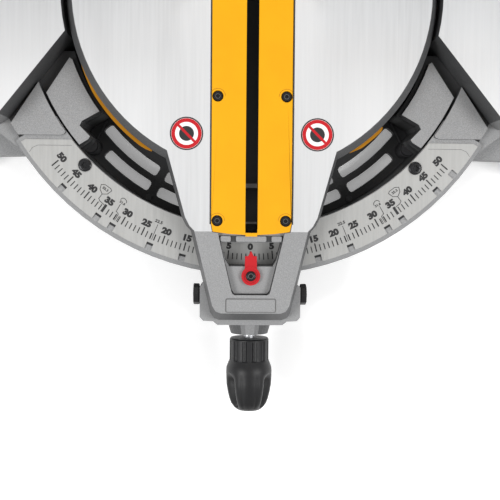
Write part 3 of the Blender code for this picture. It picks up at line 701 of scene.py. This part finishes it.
def window_and_slot(mats):
    """Painted shadow along the scale window's edges, a dark disc of painted shade at the bottom of
    the kerf trough, and the grey bars that show there.
    """
    low, high = WINDOW_TOP + GAP, WINDOW_TOP + 0.15
    bm = bmesh.new()
    # Painted shadow along the window's side walls and under the scale's lip.
    right = [(27.0, -216.4), (17.0, -257.6), (14.6, -260.9)]
    line(bm, right + [(-x, y) for x, y in reversed(right)], 0.9, low, high)
    line(bm, [(19.0, -236.2), (-19.0, -236.2)], 0.8, low, high)
    # Painted shade: a dark disc for the hole at the bottom of the trough.
    disc(bm, (0, -201.8), 4.4, SLOT_BOTTOM + 0.05, 80.0, steps=32)
    place("window_edge_shadows", bm, mats["dark"], "table")
    bm = bmesh.new()
    for front, rear in ((-199.4, -197.6), (-167.6, -164.0)):
        slab(bm, [(-5.0, front), (5.0, front), (5.0, rear), (-5.0, rear)], SLOT_BOTTOM + 0.05, 84)
    place("slot_bar", bm, mats["grey"], "table")


def web_details(mats):
    """Round bosses at the ends of the web, and small bosses and ribs between its windows."""
    low = WEB_TOP + 0.05
    # Painted shade: bosses deep in the web drawn near black, like the shade round them.
    bm = bmesh.new()
    for side in (-1, 1):
        centre = (side * 148.5, -127.6)
        disc(bm, centre, 6.6, low, 40)
        ring_slab(bm, centre, 7.1, 7.7, low, 38)
    place("web_bosses", bm, mats["dark"], "base")
    bm = bmesh.new()
    for side in (-1, 1):
        disc(bm, polar(199.4, side * 29.0), 3.0, low, 17.5, steps=24)
        line(bm, [polar(170.0, side * 53.2), polar(201.0, side * 49.0)], 1.2, low, 18.0)
    place("web_ribs", bm, mats["cast_dark"], "base")


def rounded(half_x, half_y, centre_y, corner, steps=4):
    """Rectangle with rounded corners about the middle line."""
    out = []
    for sx, sy, start in ((1, 1, 0), (-1, 1, 90), (-1, -1, 180), (1, -1, 270)):
        for k in range(steps + 1):
            t = math.radians(start + 90 * k / steps)
            out.append((sx * (half_x - corner) + corner * math.cos(t),
                        centre_y + sy * (half_y - corner) + corner * math.sin(t)))
    return out


def name_panel(mats):
    """Blank raised panel on the nose of the table."""
    middle = -270.4
    bm = bmesh.new()
    slab(bm, rounded(22.0, 6.2, middle, 1.6), TABLE_TOP + GAP, TABLE_TOP + 0.25)
    place("panel_edge", bm, mats["grey"], "table")
    bm = bmesh.new()
    slab(bm, rounded(21.3, 5.5, middle, 1.1), TABLE_TOP + 0.1, TABLE_TOP + 1)
    panel = place("panel_face", bm, mats["paint"], "table")
    edge = panel.modifiers.new("edge", "BEVEL")
    edge.width = 0.5 * MM
    edge.segments = 2


def table_details(mats):
    badges(mats)
    rim_band(mats)
    table_screws(mats)
    plate_gaps(mats)
    socket_rings(mats)
    front_step(mats)
    window_and_slot(mats)
    name_panel(mats)


# --- knob ---------------------------------------------------------------------------------
def clamp(value):
    return max(0.0, min(1.0, value))


def knob_radius(s, t):
    """Radius at distance s from the collar's rear edge, at angle t round the axis."""
    profile = ((0.0, 17.0), (1.2, 17.9), (20.0, 17.9), (22.5, 19.0), (27.0, 20.7), (31.0, 21.0),
               (43.0, 20.5), (50.0, 19.3), (55.6, 18.0), (60.5, 16.2), (64.0, 13.6), (66.2, 10.5))
    radius = profile[-1][1]
    for (s0, r0), (s1, r1) in zip(profile, profile[1:]):
        if s0 <= s <= s1:
            radius = r0 + (r1 - r0) * (s - s0) / (s1 - s0)
            break
    if 2.0 < s < 20.2:
        radius -= 1.9 * max(0.0, -math.cos(12 * t)) ** 0.6
    grip = clamp((s - 31.0) / 7.0) * clamp((65.0 - s) / 4.0)
    turn = t - math.radians(30)
    radius -= 5.2 * grip * max(0.0, math.cos(3 * turn)) ** 3
    return radius - 0.5 * grip * max(0.0, math.cos(9 * turn)) ** 4


def lock_knob(mats):
    """Rubber knob with a notched collar and three finger hollows, dished at its end."""
    around = 144
    turns = [math.tau * i / around for i in range(around)]
    stations = [0.0, 0.6, 1.2, 1.9, 2.1, 6, 12, 18, 20.1, 20.3, 22.5, 24.5, 27, 29, 31, 33, 35, 37,
                40, 43, 46, 50, 53, 56, 58, 60.5, 62, 63, 64, 65, 65.7, 66.2]
    levels = [(s, [knob_radius(s, t) for t in turns]) for s in stations]
    levels += [(s, [radius] * around) for s, radius in ((66.3, 9.4), (66.3, 8.4), (64.5, 8.0))]
    bm = bmesh.new()
    rings = [[bm.verts.new(Vector((x, KNOB_REAR - s, z)) * MM) for x, z in circle((0, LOCK_Z), radii)]
             for s, radii in levels]
    bridge(bm, rings)
    knob = place("lock_knob", bm, mats["rubber"], "lock_knob")
    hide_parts("miter_lock_knob")


def round_edges():
    """Edge radii of the castings, covers and controls."""
    widths = {
        0.3: ["miter_pointer"],
        0.35: ["kerf_plate_left", "kerf_plate_right"],
        0.5: ["head_carriage"],
        0.6: ["lower_guard", "brake_shoe"],
        0.8: ["fixed_fence_left", "fixed_fence_right", "sliding_fence_left",
              "sliding_fence_right", "trigger", "miter_latch", "cord_gland"],
        0.9: ["turntable", "latch_cap_left", "latch_cap_right"],
        1.0: ["motor_end_cap", "fence_knob_left", "fence_knob_right", "slide_lock_knob"],
        1.2: ["base_casting", "bevel_support", "belt_cover", "upper_guard", "motor_housing"],
        1.5: ["bevel_housing"],
        1.6: ["bevel_lock_lever"],
        2.0: ["saw_arm"],
        2.5: ["rail_end_cap"],
        3.0: ["handle"],
    }
    for width, names in widths.items():
        for name in names:
            soften(name, width)


def main():
    camera()
    studio()
    mats = materials()
    node_materials(mats)
    round_edges()
    miter_scale(mats)
    web_details(mats)
    table_details(mats)
    lock_knob(mats)


main()
